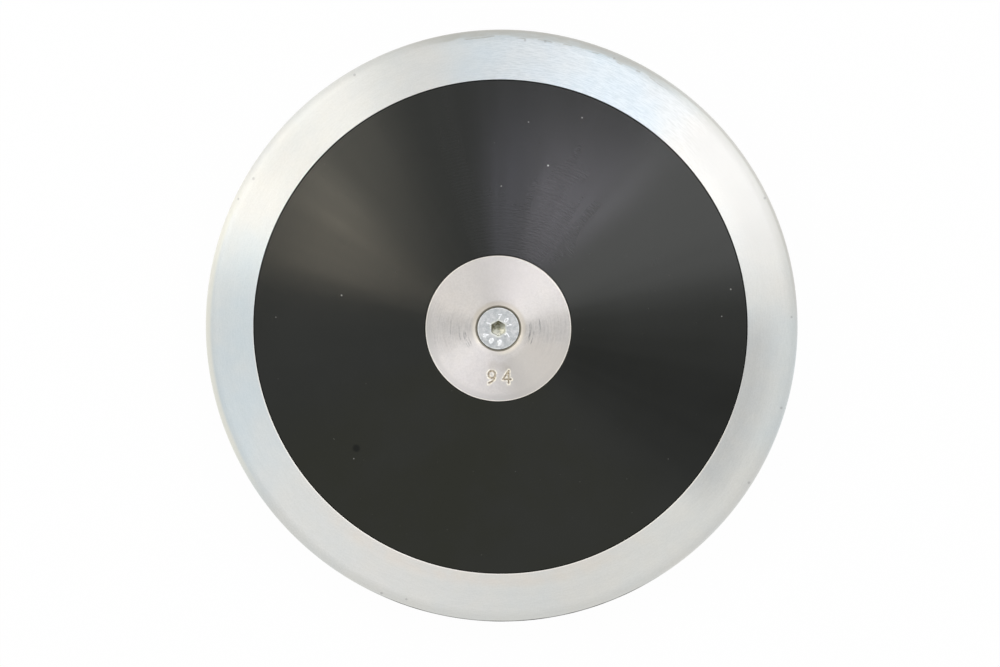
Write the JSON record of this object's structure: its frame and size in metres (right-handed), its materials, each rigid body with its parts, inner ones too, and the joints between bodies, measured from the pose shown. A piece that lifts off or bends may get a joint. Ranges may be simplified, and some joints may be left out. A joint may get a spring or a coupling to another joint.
{
  "type": "discus",
  "caption": "Throwing discus with a heavy plated rim, moulded plastic side plates, flat metal centre plates and inner ballast, clamped by countersunk screws in a central hub.",
  "frame": {"origin": "centre of the discus, on its spin axis and its middle plane", "axes": "+Z along the spin axis, out of the upper face; the discus lies on its lower centre plate; X and Y lie in the middle plane"},
  "size_m": [0.22, 0.22, 0.045],
  "materials": {
    "rim_plating": "turned steel, bright zinc plate, satin",
    "side_plate_plastic": "black moulded plastic, satin, fine turning marks",
    "centre_plate_metal": "turned, bare, lightly scratched",
    "screw_plating": "zinc plate, slightly worn",
    "hub_steel": "turned, bare",
    "ballast_steel": "punched sheet, bare"
  },
  "bodies": {
    "root": {"rim": "rim_plating", "upper_side_plate": "side_plate_plastic", "lower_side_plate": "side_plate_plastic", "upper_centre_plate": "centre_plate_metal", "lower_centre_plate": "centre_plate_metal", "upper_centre_screw": "screw_plating", "lower_centre_screw": "screw_plating", "threaded_hub": "hub_steel", "ballast_disc_1": "ballast_steel", "ballast_disc_2": "ballast_steel", "ballast_disc_3": "ballast_steel", "ballast_disc_4": "ballast_steel"}
  },
  "joints": []
}
